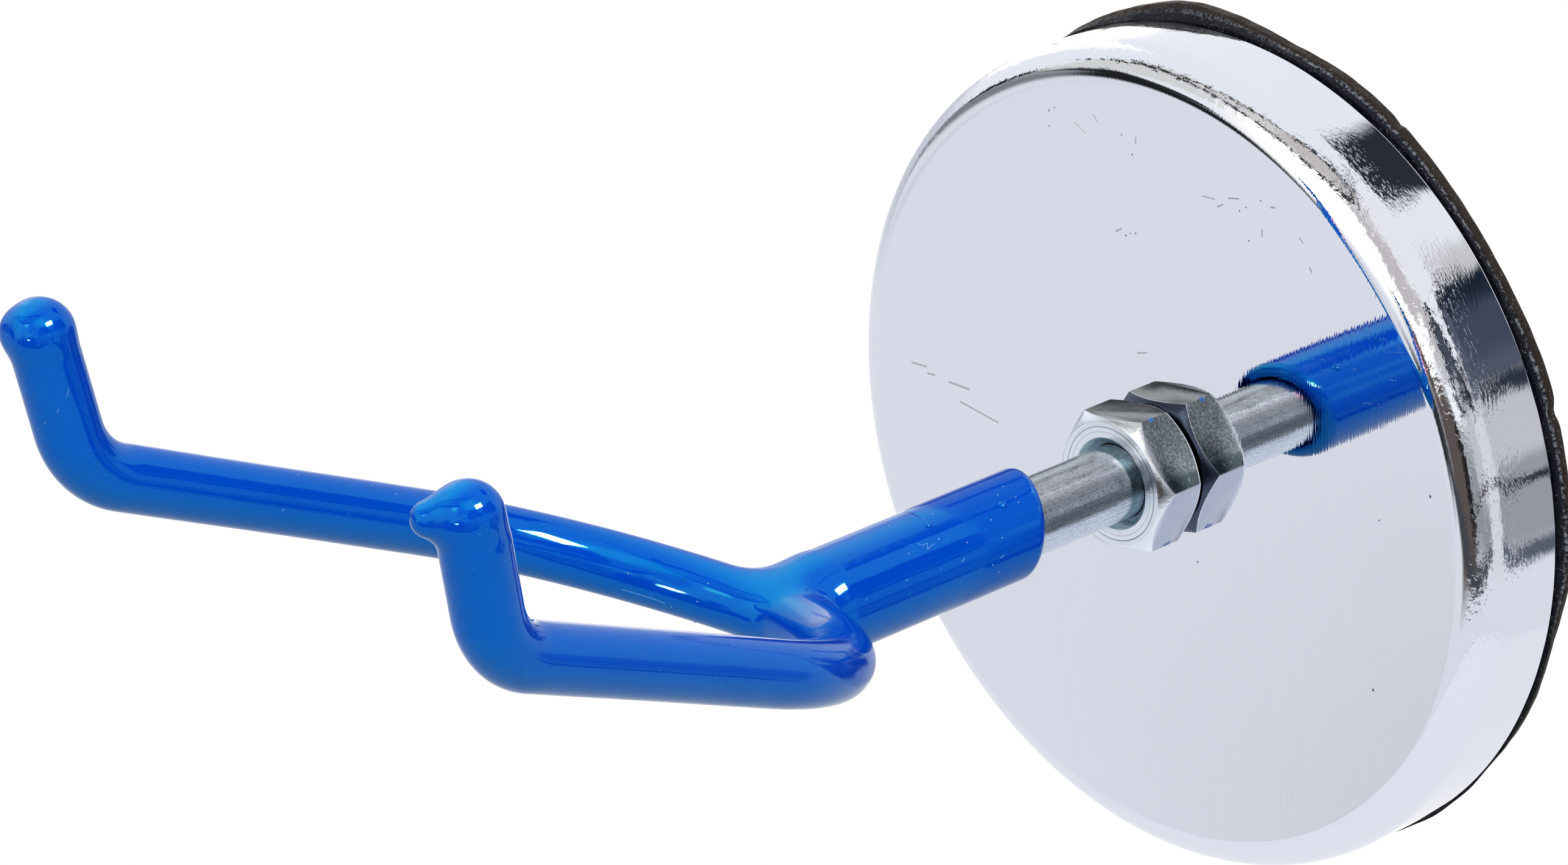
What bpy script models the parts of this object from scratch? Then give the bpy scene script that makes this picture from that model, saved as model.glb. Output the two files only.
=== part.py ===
"""A magnetic holder: a rubber-faced pot magnet that carries a blue dipped fork on a threaded bar.

Lengths are metres. The pad's contact face is the plane y = 0, and the holder stands out from it towards -Y, with +Z up.
"""

import math

import bmesh
import bpy
from mathutils import Matrix, Vector

# Clearances and overruns
seat_gap = 0.0003
running_gap = 0.0003
cut_overrun = 0.002
merge_distance = 0.000002

# The pressed steel cup
cup_radius = 0.0450
cup_height = 0.0109
cup_sheet = 0.0015
cup_shoulder = 0.0040
cup_rim_edge = 0.0003

# The rubber pad
pad_overhang = 0.0011
pad_thickness = 0.0020
pad_bevel = 0.0008
pad_round = 0.0005

# The iron core, the resin round it and the magnet, which fills the cup up to where its shoulder starts
core_radius = 0.0130
core_edge = 0.0004
inner_resin_width = 0.0024
magnet_recess = 0.0006

# The zinc-plated bar, which is threaded into the core
shaft_radius = 0.0040
shaft_end_edge = 0.0006
shaft_core_margin = 0.0010

# The lock nut
nut_across_flats = 0.0140
nut_height = 0.0061
nut_face_inset = 0.0005
nut_chamfer = 0.0014
nut_countersink = 0.0005
nut_turn = math.radians(5.9)

# The fork, whose path is set by its centre line
fork_reach = 0.0528
fork_rise = 0.0003
fork_rod_radius = 0.0025
fork_rod_edge = 0.0004
fork_pitch = math.radians(23.15)
fork_apex_angle = math.radians(14.1)
fork_apex_radius = 0.0080
fork_side_angle = math.radians(84.2)
fork_side_radius = 0.03175
fork_prong_length = 0.0350
fork_elbow_radius = 0.0086
fork_elbow_angle = math.radians(55.9)
fork_tip_length = 0.0102

# The weld between the bar and the fork
weld_throat = 0.0008
weld_leg = 0.0016
weld_toe_inset = 0.0012

# The dipped skin
sleeve_thickness = 0.0016
sleeve_bare_length = 0.0132
sleeve_lip_round = 0.0012
sleeve_dome = 0.0040
fork_skin_thickness = 0.0008
swell_width = 0.0084
swell_height = 0.0048
swell_depth = 0.0050
swell_setback = 0.0010
near_nose_radius = 0.0016
near_nose_forward = 0.0022
near_nose_side = -0.0028
far_nose_radius = 0.0023
far_nose_forward = 0.0002
far_nose_side = -0.0019

# Counts of facets
large_steps = 64
middle_steps = 48
small_steps = 32
shoulder_steps = 6
edge_steps = 3
rod_sides = 16
skin_sides = 20
swell_sides = 28
apex_segments = 2
side_segments = 11
elbow_segments = 7
cap_segments = 4

# Places along the axis, from the contact face outwards
pad_front_y = -pad_thickness
rim_y = pad_front_y - seat_gap
face_y = rim_y - cup_height
floor_y = face_y + cup_sheet
nut_back_y = face_y - seat_gap
nut_front_y = nut_back_y - nut_height
sleeve_lip_y = face_y - nut_height - seat_gap - sleeve_bare_length
fork_y = face_y - fork_reach
shaft_inner_y = rim_y - shaft_core_margin
shaft_outer_y = fork_y + fork_rod_radius + seat_gap

# Radii that follow from others
pad_radius = cup_radius + pad_overhang
bore_radius = shaft_radius + running_gap
inner_wall_radius = cup_radius - cup_sheet
magnet_outer_radius = cup_radius - cup_shoulder - 2 * seat_gap
magnet_inner_radius = core_radius + inner_resin_width + 2 * seat_gap
nut_face_radius = nut_across_flats / 2 - nut_face_inset
weld_radius = shaft_radius + weld_throat
weld_toe_radius = weld_radius - weld_toe_inset
sleeve_radius = shaft_radius + sleeve_thickness
fork_skin_radius = fork_rod_radius + fork_skin_thickness


def clear_scene():
    """Removes the objects that a new file holds."""
    for held in list(bpy.data.objects):
        bpy.data.objects.remove(held, do_unlink=True)


def finish_of(name, colour, metallic, roughness, coat=0.0):
    """A Principled material with one colour."""
    made = bpy.data.materials.new(name)
    made.use_nodes = True
    shader = made.node_tree.nodes["Principled BSDF"]
    shader.inputs["Base Color"].default_value = (*colour, 1.0)
    shader.inputs["Metallic"].default_value = metallic
    shader.inputs["Roughness"].default_value = roughness
    shader.inputs["Coat Weight"].default_value = coat
    made.diffuse_color = (*colour, 1.0)
    return made


def object_from(name, shape, material, parent=None):
    """Turns a bmesh into a named object, shaded smooth between its sharp edges."""
    bmesh.ops.remove_doubles(shape, verts=shape.verts, dist=merge_distance)
    bmesh.ops.recalc_face_normals(shape, faces=shape.faces)
    mesh = bpy.data.meshes.new(name)
    shape.to_mesh(mesh)
    shape.free()
    mesh.shade_smooth()
    mesh.set_sharp_from_angle(angle=math.radians(35))
    made = bpy.data.objects.new(name, mesh)
    bpy.context.scene.collection.objects.link(made)
    made.data.materials.append(material)
    made.parent = parent
    return made


def helper(made):
    """Marks an object as a cutter or a joined shape, which isn't a piece of the holder."""
    made.hide_render = True
    made.display_type = "WIRE"
    return made


def combine(target, other, operation):
    """Joins, cuts or intersects the target with another object, and keeps the modifier on it."""
    change = target.modifiers.new(f"{operation.lower()} {other.name}", "BOOLEAN")
    change.operation = operation
    change.solver = "EXACT"
    change.object = helper(other)


def arc(centre, radius, start, end, steps):
    """Points (radius from the axis, y) along an arc of a turned profile."""
    turns = [start + (end - start) * step / steps for step in range(steps + 1)]
    return [(centre[0] + radius * math.cos(turn), centre[1] + radius * math.sin(turn)) for turn in turns]


def turned(name, profile, steps, material, parent=None):
    """Revolves a profile of (radius, y) points about the Y axis. One that starts on the axis also ends there."""
    shape = bmesh.new()
    points = [shape.verts.new((radius, y, 0)) for radius, y in profile]
    edges = [shape.edges.new(pair) for pair in zip(points, points[1:])]
    if profile[0][0] > 0:
        edges.append(shape.edges.new((points[-1], points[0])))
    bmesh.ops.spin(
        shape,
        geom=points + edges,
        cent=(0, 0, 0),
        axis=(0, 1, 0),
        angle=math.tau,
        steps=steps,
        use_merge=True,
    )
    return object_from(name, shape, material, parent)


def ring_profile(inner, outer, low_y, high_y, edge=0.0):
    """The section of a plain ring, with an optional small chamfer on its outer corners."""
    if not edge:
        return [(inner, low_y), (outer, low_y), (outer, high_y), (inner, high_y)]
    return [
        (inner, low_y),
        (outer - edge, low_y),
        (outer, low_y + edge),
        (outer, high_y - edge),
        (outer - edge, high_y),
        (inner, high_y),
    ]


def bar_profile(radius, low_y, high_y, edge):
    """The half section of a solid round bar with chamfered ends."""
    return [
        (0, low_y),
        (radius - edge, low_y),
        (radius, low_y + edge),
        (radius, high_y - edge),
        (radius - edge, high_y),
        (0, high_y),
    ]


def fork_half(tip_length):
    """The centre line from the fork's middle to its right tip, in world places."""
    forward = Vector((0, -math.cos(fork_pitch), math.sin(fork_pitch)))
    upward = Vector((0, math.sin(fork_pitch), math.cos(fork_pitch)))
    sideways = Vector((1, 0, 0))
    points = [Vector((0, fork_y, fork_rise))]

    def bend(start_angle, end_angle, radius, segments):
        start = points[-1]
        for segment in range(1, segments + 1):
            angle = start_angle + (end_angle - start_angle) * segment / segments
            across = radius * (math.sin(angle) - math.sin(start_angle))
            along = radius * (math.cos(start_angle) - math.cos(angle))
            points.append(start + sideways * across + forward * along)

    bend(0, fork_apex_angle, fork_apex_radius, apex_segments)
    bend(fork_apex_angle, fork_side_angle, fork_side_radius, side_segments)
    prong = sideways * math.cos(fork_side_angle) + forward * math.sin(fork_side_angle)
    points.append(points[-1] + prong * fork_prong_length)
    start = points[-1]
    for segment in range(1, elbow_segments + 1):
        angle = fork_elbow_angle * segment / elbow_segments
        along = fork_elbow_radius * math.sin(angle)
        rise = fork_elbow_radius * (1 - math.cos(angle))
        points.append(start + prong * along + upward * rise)
    tip = prong * math.cos(fork_elbow_angle) + upward * math.sin(fork_elbow_angle)
    points.append(points[-1] + tip * tip_length)
    return points


def fork_line(tip_length):
    """The whole centre line, from the left tip over the middle to the right tip."""
    right = fork_half(tip_length)
    left = [Vector((-point.x, point.y, point.z)) for point in right[1:]]
    return left[::-1] + right


def swept(name, line, radius, sides, material, parent=None, rounded=True, edge=0.0):
    """A round tube's solid along a line of points, with domed ends, or flat ones with a small chamfer."""
    shape = bmesh.new()
    stations = []
    first = (line[0] - line[1]).normalized()
    last = (line[-1] - line[-2]).normalized()
    if rounded:
        turns = [math.pi / 2 * step / (cap_segments + 1) for step in range(1, cap_segments + 1)]
        opening = [(line[0] + first * radius * math.sin(turn), radius * math.cos(turn)) for turn in reversed(turns)]
        closing = [(line[-1] + last * radius * math.sin(turn), radius * math.cos(turn)) for turn in turns]
        poles = (line[0] + first * radius, line[-1] + last * radius)
    else:
        opening = [(line[0] + first * edge, radius - edge)] if edge else []
        closing = [(line[-1] + last * edge, radius - edge)] if edge else []
        poles = None
    stations = opening + [(point, radius) for point in line] + closing
    centres = [station[0] for station in stations]
    heading = (centres[1] - centres[0]).normalized()
    side = heading.orthogonal().normalized()
    rings = []
    for index, (centre, size) in enumerate(stations):
        before = centres[max(index - 1, 0)]
        after = centres[min(index + 1, len(centres) - 1)]
        new_heading = (after - before).normalized()
        side = heading.rotation_difference(new_heading) @ side
        heading = new_heading
        cross = heading.cross(side)
        ring = []
        for corner in range(sides):
            turn = math.tau * corner / sides
            ring.append(shape.verts.new(centre + (side * math.cos(turn) + cross * math.sin(turn)) * size))
        rings.append(ring)
    for ring, following in zip(rings, rings[1:]):
        for corner in range(sides):
            following_corner = (corner + 1) % sides
            shape.faces.new((ring[corner], ring[following_corner], following[following_corner], following[corner]))
    if poles is None:
        shape.faces.new(rings[0])
        shape.faces.new(rings[-1])
    else:
        for ring, pole in ((rings[0], poles[0]), (rings[-1], poles[1])):
            centre = shape.verts.new(pole)
            for corner in range(sides):
                shape.faces.new((ring[corner], ring[(corner + 1) % sides], centre))
    return object_from(name, shape, material, parent)


def make_pad(material, parent):
    """The pad: a rubber disc a little wider than the cup, bevelled towards it and rounded at the back."""
    profile = [
        (0, pad_front_y),
        (pad_radius - pad_bevel, pad_front_y),
        (pad_radius, pad_front_y + pad_bevel),
    ]
    profile += arc((pad_radius - pad_round, -pad_round), pad_round, 0, math.pi / 2, edge_steps)
    profile.append((0, 0))
    return turned("pad", profile, large_steps, material, parent)


def make_cup(material, parent):
    """The cup: drawn from sheet, with a flat face, a rounded shoulder and a hole for the bar."""
    centre = (cup_radius - cup_shoulder, face_y + cup_shoulder)
    profile = [(bore_radius, face_y)]
    profile += arc(centre, cup_shoulder, -math.pi / 2, 0, shoulder_steps)
    profile += [
        (cup_radius, rim_y - cup_rim_edge),
        (cup_radius - cup_rim_edge, rim_y),
        (inner_wall_radius + cup_rim_edge, rim_y),
        (inner_wall_radius, rim_y - cup_rim_edge),
    ]
    profile += arc(centre, cup_shoulder - cup_sheet, 0, -math.pi / 2, shoulder_steps)
    profile.append((bore_radius, floor_y))
    return turned("cup", profile, large_steps, material, parent)


def make_magnet_filling(finishes, parent):
    """The ring magnet, the iron core in its hole, and the two rings of resin that hold them."""
    bottom_y = floor_y + seat_gap
    top_y = rim_y - magnet_recess
    magnet = ring_profile(magnet_inner_radius, magnet_outer_radius, bottom_y, top_y)
    turned("ring_magnet", magnet, large_steps, finishes["ferrite"], parent)
    core = ring_profile(bore_radius, core_radius, bottom_y, rim_y, core_edge)
    turned("pole_core", core, middle_steps, finishes["core_iron"], parent)
    inner = ring_profile(core_radius + seat_gap, magnet_inner_radius - seat_gap, bottom_y, top_y)
    turned("inner_potting_ring", inner, middle_steps, finishes["resin"], parent)
    centre = (cup_radius - cup_shoulder, face_y + cup_shoulder)
    outer = [(magnet_outer_radius + seat_gap, bottom_y)]
    outer += arc(centre, cup_shoulder - cup_sheet - seat_gap, -math.pi / 2, 0, shoulder_steps)
    outer += [(inner_wall_radius - seat_gap, top_y), (magnet_outer_radius + seat_gap, top_y)]
    turned("outer_potting_ring", outer, large_steps, finishes["resin"], parent)


def make_lock_nut(material, parent):
    """The lock nut: a hexagon whose corners are turned off on both faces, with a countersunk bore."""
    corner_radius = nut_across_flats / math.sqrt(3)
    shape = bmesh.new()
    rings = []
    for y in (nut_front_y, nut_back_y):
        turns = [nut_turn + math.tau * corner / 6 for corner in range(6)]
        rings.append([shape.verts.new((corner_radius * math.cos(t), y, corner_radius * math.sin(t))) for t in turns])
    for corner in range(6):
        following = (corner + 1) % 6
        shape.faces.new((rings[0][corner], rings[0][following], rings[1][following], rings[1][corner]))
    shape.faces.new(rings[0])
    shape.faces.new(rings[1])
    nut = object_from("lock_nut", shape, material, parent)

    slope = (corner_radius - nut_face_radius) / nut_chamfer
    overrun_radius = nut_face_radius - cut_overrun * slope
    middle_radius = nut_face_radius + slope * nut_height / 2
    envelope = [
        (0, nut_front_y - cut_overrun),
        (overrun_radius, nut_front_y - cut_overrun),
        (middle_radius, (nut_front_y + nut_back_y) / 2),
        (overrun_radius, nut_back_y + cut_overrun),
        (0, nut_back_y + cut_overrun),
    ]
    combine(nut, turned("nut_chamfer_envelope", envelope, middle_steps, material, parent), "INTERSECT")

    mouth_radius = bore_radius + nut_countersink
    bore = [
        (0, nut_front_y - cut_overrun),
        (mouth_radius + cut_overrun, nut_front_y - cut_overrun),
        (bore_radius, nut_front_y + nut_countersink),
        (bore_radius, nut_back_y - nut_countersink),
        (mouth_radius + cut_overrun, nut_back_y + cut_overrun),
        (0, nut_back_y + cut_overrun),
    ]
    combine(nut, turned("nut_bore", bore, middle_steps, material, parent), "DIFFERENCE")


def make_hook_metal(finishes, parent):
    """The bar, the fork across its end and the weld that joins them."""
    bar = bar_profile(shaft_radius, shaft_outer_y, shaft_inner_y, shaft_end_edge)
    turned("shaft", bar, middle_steps, finishes["zinc"], parent)
    line = fork_line(fork_tip_length)
    swept("fork", line, fork_rod_radius, rod_sides, finishes["zinc"], parent, rounded=False, edge=fork_rod_edge)

    start_y = shaft_outer_y + weld_leg
    weld = [
        (0, fork_y),
        (weld_toe_radius, fork_y),
        (weld_radius, shaft_outer_y),
        (weld_radius, start_y - weld_leg / 2),
        (bore_radius + seat_gap / 2, start_y),
        (0, start_y),
    ]
    bead = turned("weld_bead", weld, small_steps, finishes["weld"], parent)
    bar_cut = bar_profile(bore_radius, shaft_outer_y - seat_gap, start_y + cut_overrun, 0)
    combine(bead, turned("weld_bar_cutter", bar_cut, small_steps, finishes["weld"], parent), "DIFFERENCE")
    rod_cut = swept("weld_rod_cutter", line, fork_rod_radius + seat_gap, rod_sides, finishes["weld"], parent)
    combine(bead, rod_cut, "DIFFERENCE")


def nose(name, tip, side_sign, place, radius, material, parent):
    """The blob that a sheared end carries: the skin drawn out from the tip to a smaller round end."""
    forward, side = place
    start = Vector((side_sign * tip.x, tip.y, tip.z))
    shape = bmesh.new()
    for centre, size in ((start, fork_skin_radius), (start + Vector((side, -forward, 0)), radius)):
        place_matrix = Matrix.Translation(centre)
        bmesh.ops.create_icosphere(shape, subdivisions=2, radius=size, matrix=place_matrix)
    bmesh.ops.delete(shape, geom=list(shape.edges), context="EDGES_FACES")
    bmesh.ops.convex_hull(shape, input=shape.verts)
    inner = [vert for vert in shape.verts if not vert.link_faces]
    bmesh.ops.delete(shape, geom=inner, context="VERTS")
    return object_from(name, shape, material, parent)


def make_dip_coating(material, parent):
    """The skin: a sleeve on the bar and a thinner skin on the fork, in one piece, hollow round the metal."""
    dome_y = fork_y + sleeve_dome / 2
    sleeve = [(0, sleeve_lip_y)]
    lip_centre = (sleeve_radius - sleeve_lip_round, sleeve_lip_y - sleeve_lip_round)
    sleeve += arc(lip_centre, sleeve_lip_round, math.pi / 2, 0, edge_steps)
    dome = [math.pi / 2 * step / shoulder_steps for step in range(shoulder_steps)]
    sleeve += [(sleeve_radius * math.cos(t), dome_y - sleeve_dome * math.sin(t)) for t in dome]
    sleeve.append((0, dome_y - sleeve_dome))
    skin = turned("dip_coating", sleeve, small_steps, material, parent)

    line = fork_line(fork_tip_length)
    combine(skin, swept("fork_skin", line, fork_skin_radius, skin_sides, material, parent), "UNION")
    shape = bmesh.new()
    bmesh.ops.create_uvsphere(shape, u_segments=swell_sides, v_segments=rod_sides, radius=1)
    sizes = Matrix.Diagonal((swell_width, swell_depth, swell_height, 1))
    place = Matrix.Translation((0, fork_y + swell_setback, 0))
    bmesh.ops.transform(shape, matrix=place @ sizes, verts=shape.verts)
    combine(skin, object_from("joint_swell", shape, material, parent), "UNION")
    near_place = (near_nose_forward, near_nose_side)
    far_place = (far_nose_forward, far_nose_side)
    near_nose = nose("near_nose", line[-1], 1, near_place, near_nose_radius, material, parent)
    far_nose = nose("far_nose", line[-1], -1, far_place, far_nose_radius, material, parent)
    combine(skin, near_nose, "UNION")
    combine(skin, far_nose, "UNION")

    bar_cut = bar_profile(bore_radius, shaft_outer_y - seat_gap, sleeve_lip_y + cut_overrun, 0)
    combine(skin, turned("skin_bar_cutter", bar_cut, small_steps, material, parent), "DIFFERENCE")
    hollow_line = fork_line(fork_tip_length + fork_rod_edge + seat_gap)
    rod_cut = swept("skin_rod_cutter", hollow_line, fork_rod_radius + seat_gap, rod_sides, material, parent,
                    rounded=False)
    combine(skin, rod_cut, "DIFFERENCE")
    weld_cut = [
        (0, fork_y - seat_gap),
        (weld_toe_radius + seat_gap, fork_y - seat_gap),
        (weld_radius + seat_gap, shaft_outer_y - seat_gap),
        (weld_radius + seat_gap, shaft_outer_y + weld_leg + seat_gap),
        (0, shaft_outer_y + weld_leg + seat_gap),
    ]
    combine(skin, turned("skin_weld_cutter", weld_cut, small_steps, material, parent), "DIFFERENCE")


def make_frame(name, place):
    """An empty that the pieces of one moving body hang from."""
    made = bpy.data.objects.new(name, None)
    made.location = place
    bpy.context.scene.collection.objects.link(made)
    return made


def main():
    clear_scene()
    finishes = {
        "chrome": finish_of("chrome", (0.80, 0.81, 0.84), 1.0, 0.06),
        "rubber": finish_of("rubber", (0.025, 0.024, 0.026), 0.0, 0.62),
        "ferrite": finish_of("ferrite", (0.085, 0.085, 0.090), 0.0, 0.75),
        "core_iron": finish_of("core_iron", (0.42, 0.42, 0.43), 1.0, 0.45),
        "resin": finish_of("resin", (0.10, 0.10, 0.11), 0.0, 0.50),
        "zinc": finish_of("zinc", (0.66, 0.69, 0.72), 1.0, 0.28),
        "weld": finish_of("weld", (0.30, 0.29, 0.28), 1.0, 0.55),
        "blue_pvc": finish_of("blue_pvc", (0.005, 0.130, 0.560), 0.0, 0.22, coat=0.4),
    }
    base_frame = make_frame("base_frame", (0, 0, 0))
    nut_frame = make_frame("nut_frame", (0, 0, 0))
    hook_frame = make_frame("hook_frame", (0, 0, 0))
    make_pad(finishes["rubber"], base_frame)
    make_cup(finishes["chrome"], base_frame)
    make_magnet_filling(finishes, base_frame)
    make_lock_nut(finishes["zinc"], nut_frame)
    make_hook_metal(finishes, hook_frame)
    make_dip_coating(finishes["blue_pvc"], hook_frame)


main()
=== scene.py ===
"""The looks of the magnetic holder: its visible pieces in full detail, with their finishes and a studio."""

import math

import bmesh
import bpy
import numpy as np
from mathutils import Matrix, Vector


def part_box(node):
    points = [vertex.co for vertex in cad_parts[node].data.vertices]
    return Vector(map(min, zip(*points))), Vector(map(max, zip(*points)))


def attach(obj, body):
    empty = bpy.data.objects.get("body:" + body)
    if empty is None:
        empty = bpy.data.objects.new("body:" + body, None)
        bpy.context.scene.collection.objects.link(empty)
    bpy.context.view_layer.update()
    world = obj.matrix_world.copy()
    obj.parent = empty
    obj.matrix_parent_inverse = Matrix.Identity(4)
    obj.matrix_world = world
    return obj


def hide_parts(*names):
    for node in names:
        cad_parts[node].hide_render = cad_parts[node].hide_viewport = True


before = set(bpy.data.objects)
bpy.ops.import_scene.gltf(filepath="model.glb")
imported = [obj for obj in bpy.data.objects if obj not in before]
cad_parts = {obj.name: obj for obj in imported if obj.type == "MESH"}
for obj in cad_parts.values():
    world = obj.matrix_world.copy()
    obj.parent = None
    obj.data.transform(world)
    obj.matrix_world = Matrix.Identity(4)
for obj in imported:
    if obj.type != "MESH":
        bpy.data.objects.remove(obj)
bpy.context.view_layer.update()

# The rubber pad: a disc moulded in black rubber, a little wider than the cup, glued over its open side.
# Its edge is trimmed by hand: wavy, nicked and a little off centre. Its glue bed is thinner on one side.

pad_radius = float(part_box("pad")[1][0])
pad_front_y = -0.0020
pad_bevel = 0.0009
pad_bevel_rows = (3, 4)
pad_edge_break = 0.0001
pad_back_round = 0.0005
pad_inner_ring, pad_outer_ring = 0.020, 0.040
pad_trimmed_from = 0.0425
pad_steps = 480
pad_squeeze = 0.0006
pad_thin_turn = math.radians(-45)
pad_squeeze_shares = {3: 1.0, 4: 1.0, 5: 0.6, 6: 0.6}
pad_lean_share = 0.8

# Waves round the pad: the height, how many there are in a round, and where they start.
pad_edge_waves = ((0.45, 3, 0.4), (0.3, 7, 2.1), (0.25, 17, 1.0), (0.22, 61, 0.7), (0.16, 97, 1.9))
pad_edge_height = 0.00008
pad_bevel_waves = ((0.00010, 5, 1.3), (0.00007, 13, 0.0), (0.00004, 41, 0.0))

# Dents in the pad's edge: the angle and width of each in degrees, then its depth, which a bulge has below 0.
pad_dents = (
    (18.5, 1.2, 0.00055), (3.3, 0.45, 0.0007), (61.0, 0.5, 0.0003), (200.0, 0.9, 0.0004),
    (304.0, 0.8, 0.0004), (140.0, 15.0, 0.00045), (42.0, 17.0, 0.00085), (12.0, 7.0, 0.00035),
    (80.0, 6.0, 0.00035), (98.0, 8.0, -0.00065), (126.0, 9.0, 0.0008), (-48.0, 30.0, 0.00145),
    (-14.0, 9.0, 0.00075),
)


class Nodes:
    """The nodes of one material, lamp or world, made and linked in short calls."""

    def __init__(self, tree):
        self.tree = tree

    def node(self, kind, *values, **properties):
        """A new node whose first inputs take the values given, each a number, a vector or a link."""
        made = self.tree.nodes.new(kind)
        for key, value in properties.items():
            setattr(made, key, value)
        for socket, value in zip(made.inputs, values):
            self.feed(socket, value)
        return made

    def feed(self, socket, value):
        if isinstance(value, bpy.types.NodeSocket):
            self.tree.links.new(value, socket)
        elif socket.type == "RGBA":
            socket.default_value = (*value[:3], 1.0)
        else:
            socket.default_value = value

    def math(self, operation, *values, clamp=False):
        return self.node("ShaderNodeMath", *values, operation=operation, use_clamp=clamp).outputs[0]

    def plus(self, first, second):
        return self.math("ADD", first, second)

    def minus(self, first, second):
        return self.math("SUBTRACT", first, second)

    def times(self, first, second):
        return self.math("MULTIPLY", first, second)

    def higher(self, first, second):
        return self.math("MAXIMUM", first, second)

    def vector(self, operation, *values):
        made = self.node("ShaderNodeVectorMath", *values, operation=operation)
        return made.outputs["Value" if operation in ("LENGTH", "DISTANCE", "DOT_PRODUCT") else "Vector"]

    def parts(self, vector):
        return self.node("ShaderNodeSeparateXYZ", vector).outputs

    def joined(self, x, y, z):
        return self.node("ShaderNodeCombineXYZ", x, y, z).outputs[0]

    def noise(self, place, scale=1.0, detail=2.0, roughness=0.5):
        made = self.node("ShaderNodeTexNoise")
        settings = {"Vector": place, "Scale": scale, "Detail": detail, "Roughness": roughness}
        for socket, value in settings.items():
            self.feed(made.inputs[socket], value)
        return made.outputs["Fac"]

    def drawn_noise(self, x, x_scale, y, y_scale, layer, detail, roughness=0.5):
        """Noise over two lengths, each at a scale of its own, so that it is drawn out along one."""
        place = self.joined(self.times(x, x_scale), self.times(y, y_scale), layer)
        return self.noise(place, 1.0, detail, roughness)

    def ramp(self, value, low, high, start=0.0, end=1.0):
        made = self.node("ShaderNodeMapRange", value, low, high, start, end, interpolation_type="SMOOTHSTEP")
        return made.outputs[0]

    def near(self, value, middle, full, gone):
        """One where a value is within a distance of its middle, and nothing beyond a greater one."""
        return self.ramp(self.math("ABSOLUTE", self.minus(value, middle)), full, gone, 1.0, 0.0)

    def blend(self, share, first, second):
        made = self.node("ShaderNodeMix", data_type="RGBA")
        for index, value in ((0, share), (6, first), (7, second)):
            self.feed(made.inputs[index], value)
        return made.outputs[2]

    def bump(self, height, distance, normal=None):
        made = self.node("ShaderNodeBump")
        made.inputs["Strength"].default_value = 1.0
        made.inputs["Distance"].default_value = distance
        self.feed(made.inputs["Height"], height)
        if normal is not None:
            self.feed(made.inputs["Normal"], normal)
        return made.outputs[0]


class Finish(Nodes):
    """A material built up around one Principled shader. Its places are in the CAD frame at rest."""

    def __init__(self, name, colour, roughness, metallic=0.0, **settings):
        self.material = bpy.data.materials.new(name)
        self.material.use_nodes = True
        super().__init__(self.material.node_tree)
        self.shader = self.tree.nodes["Principled BSDF"]
        self.place = self.node("ShaderNodeTexCoord").outputs["Object"]
        self.set("Base Color", colour)
        self.set("Roughness", roughness)
        self.set("Metallic", metallic)
        for socket, value in settings.items():
            self.set(socket.replace("_", " "), value)

    def set(self, socket, value):
        self.feed(self.shader.inputs[socket], value)

    def grain(self, scale, detail=2.0, roughness=0.5):
        """Noise all through the piece."""
        return self.noise(self.place, scale, detail, roughness)

    def follow(self, pattern, dark, light, distance):
        """Lets the colour and the bump follow one pattern."""
        self.set("Base Color", self.blend(pattern, dark, light))
        self.set("Normal", self.bump(pattern, distance))


def placed(name, data):
    """A new object in the scene."""
    made = bpy.data.objects.new(name, data)
    bpy.context.scene.collection.objects.link(made)
    return made


def joined_up(shape):
    """Joins points that lie in one place, and turns all faces outwards."""
    bmesh.ops.remove_doubles(shape, verts=shape.verts, dist=0.0000005)
    bmesh.ops.recalc_face_normals(shape, faces=shape.faces)


def finished(name, mesh, finish, sharp_angle=None):
    """A mesh as a named object, shaded smooth, with the edges over an angle kept sharp."""
    mesh.materials.clear()
    mesh.materials.append(finish.material)
    mesh.shade_smooth()
    if sharp_angle is not None:
        mesh.set_sharp_from_angle(angle=math.radians(sharp_angle))
    return placed(name, mesh)


def piece_from(name, points, faces, finish, sharp_angle=None):
    """A finished object from points and faces."""
    mesh = bpy.data.meshes.new(name)
    mesh.from_pydata(points, [], faces)
    mesh.validate()
    shape = bmesh.new()
    shape.from_mesh(mesh)
    joined_up(shape)
    shape.to_mesh(mesh)
    shape.free()
    return finished(name, mesh, finish, sharp_angle)


def arc_points(centre, radius, start, end, steps):
    """Points (radius from the axis, y) along an arc of a turned profile, without its first point."""
    turns = np.radians(np.linspace(start, end, steps + 1)[1:])
    return [(centre[0] + radius * math.cos(t), centre[1] + radius * math.sin(t)) for t in turns]


def lathed(profile, steps, shift=None, lift=None):
    """The points and faces of a profile of (radius, y) turned about the Y axis.

    A shift moves points in or out, and a lift moves them along the axis.
    """
    points = []
    faces = []
    for index, (radius, y) in enumerate(profile):
        for step in range(steps):
            turn = math.tau * step / steps
            out = radius + (shift(index, turn) if shift and radius > 0 else 0.0)
            along = y + (lift(index, turn) if lift else 0.0)
            points.append((out * math.cos(turn), along, out * math.sin(turn)))
    closed = profile[0][0] > 0
    for index in range(len(profile) - (0 if closed else 1)):
        following = (index + 1) % len(profile)
        for step in range(steps):
            beside = (step + 1) % steps
            corners = ((index, step), (index, beside), (following, beside), (following, step))
            faces.append([row * steps + place for row, place in corners])
    return points, faces


def waves_at(turn, waves):
    """The height at an angle of waves that run round an edge."""
    return sum(height * math.sin(count * turn + start) for height, count, start in waves)


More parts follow.
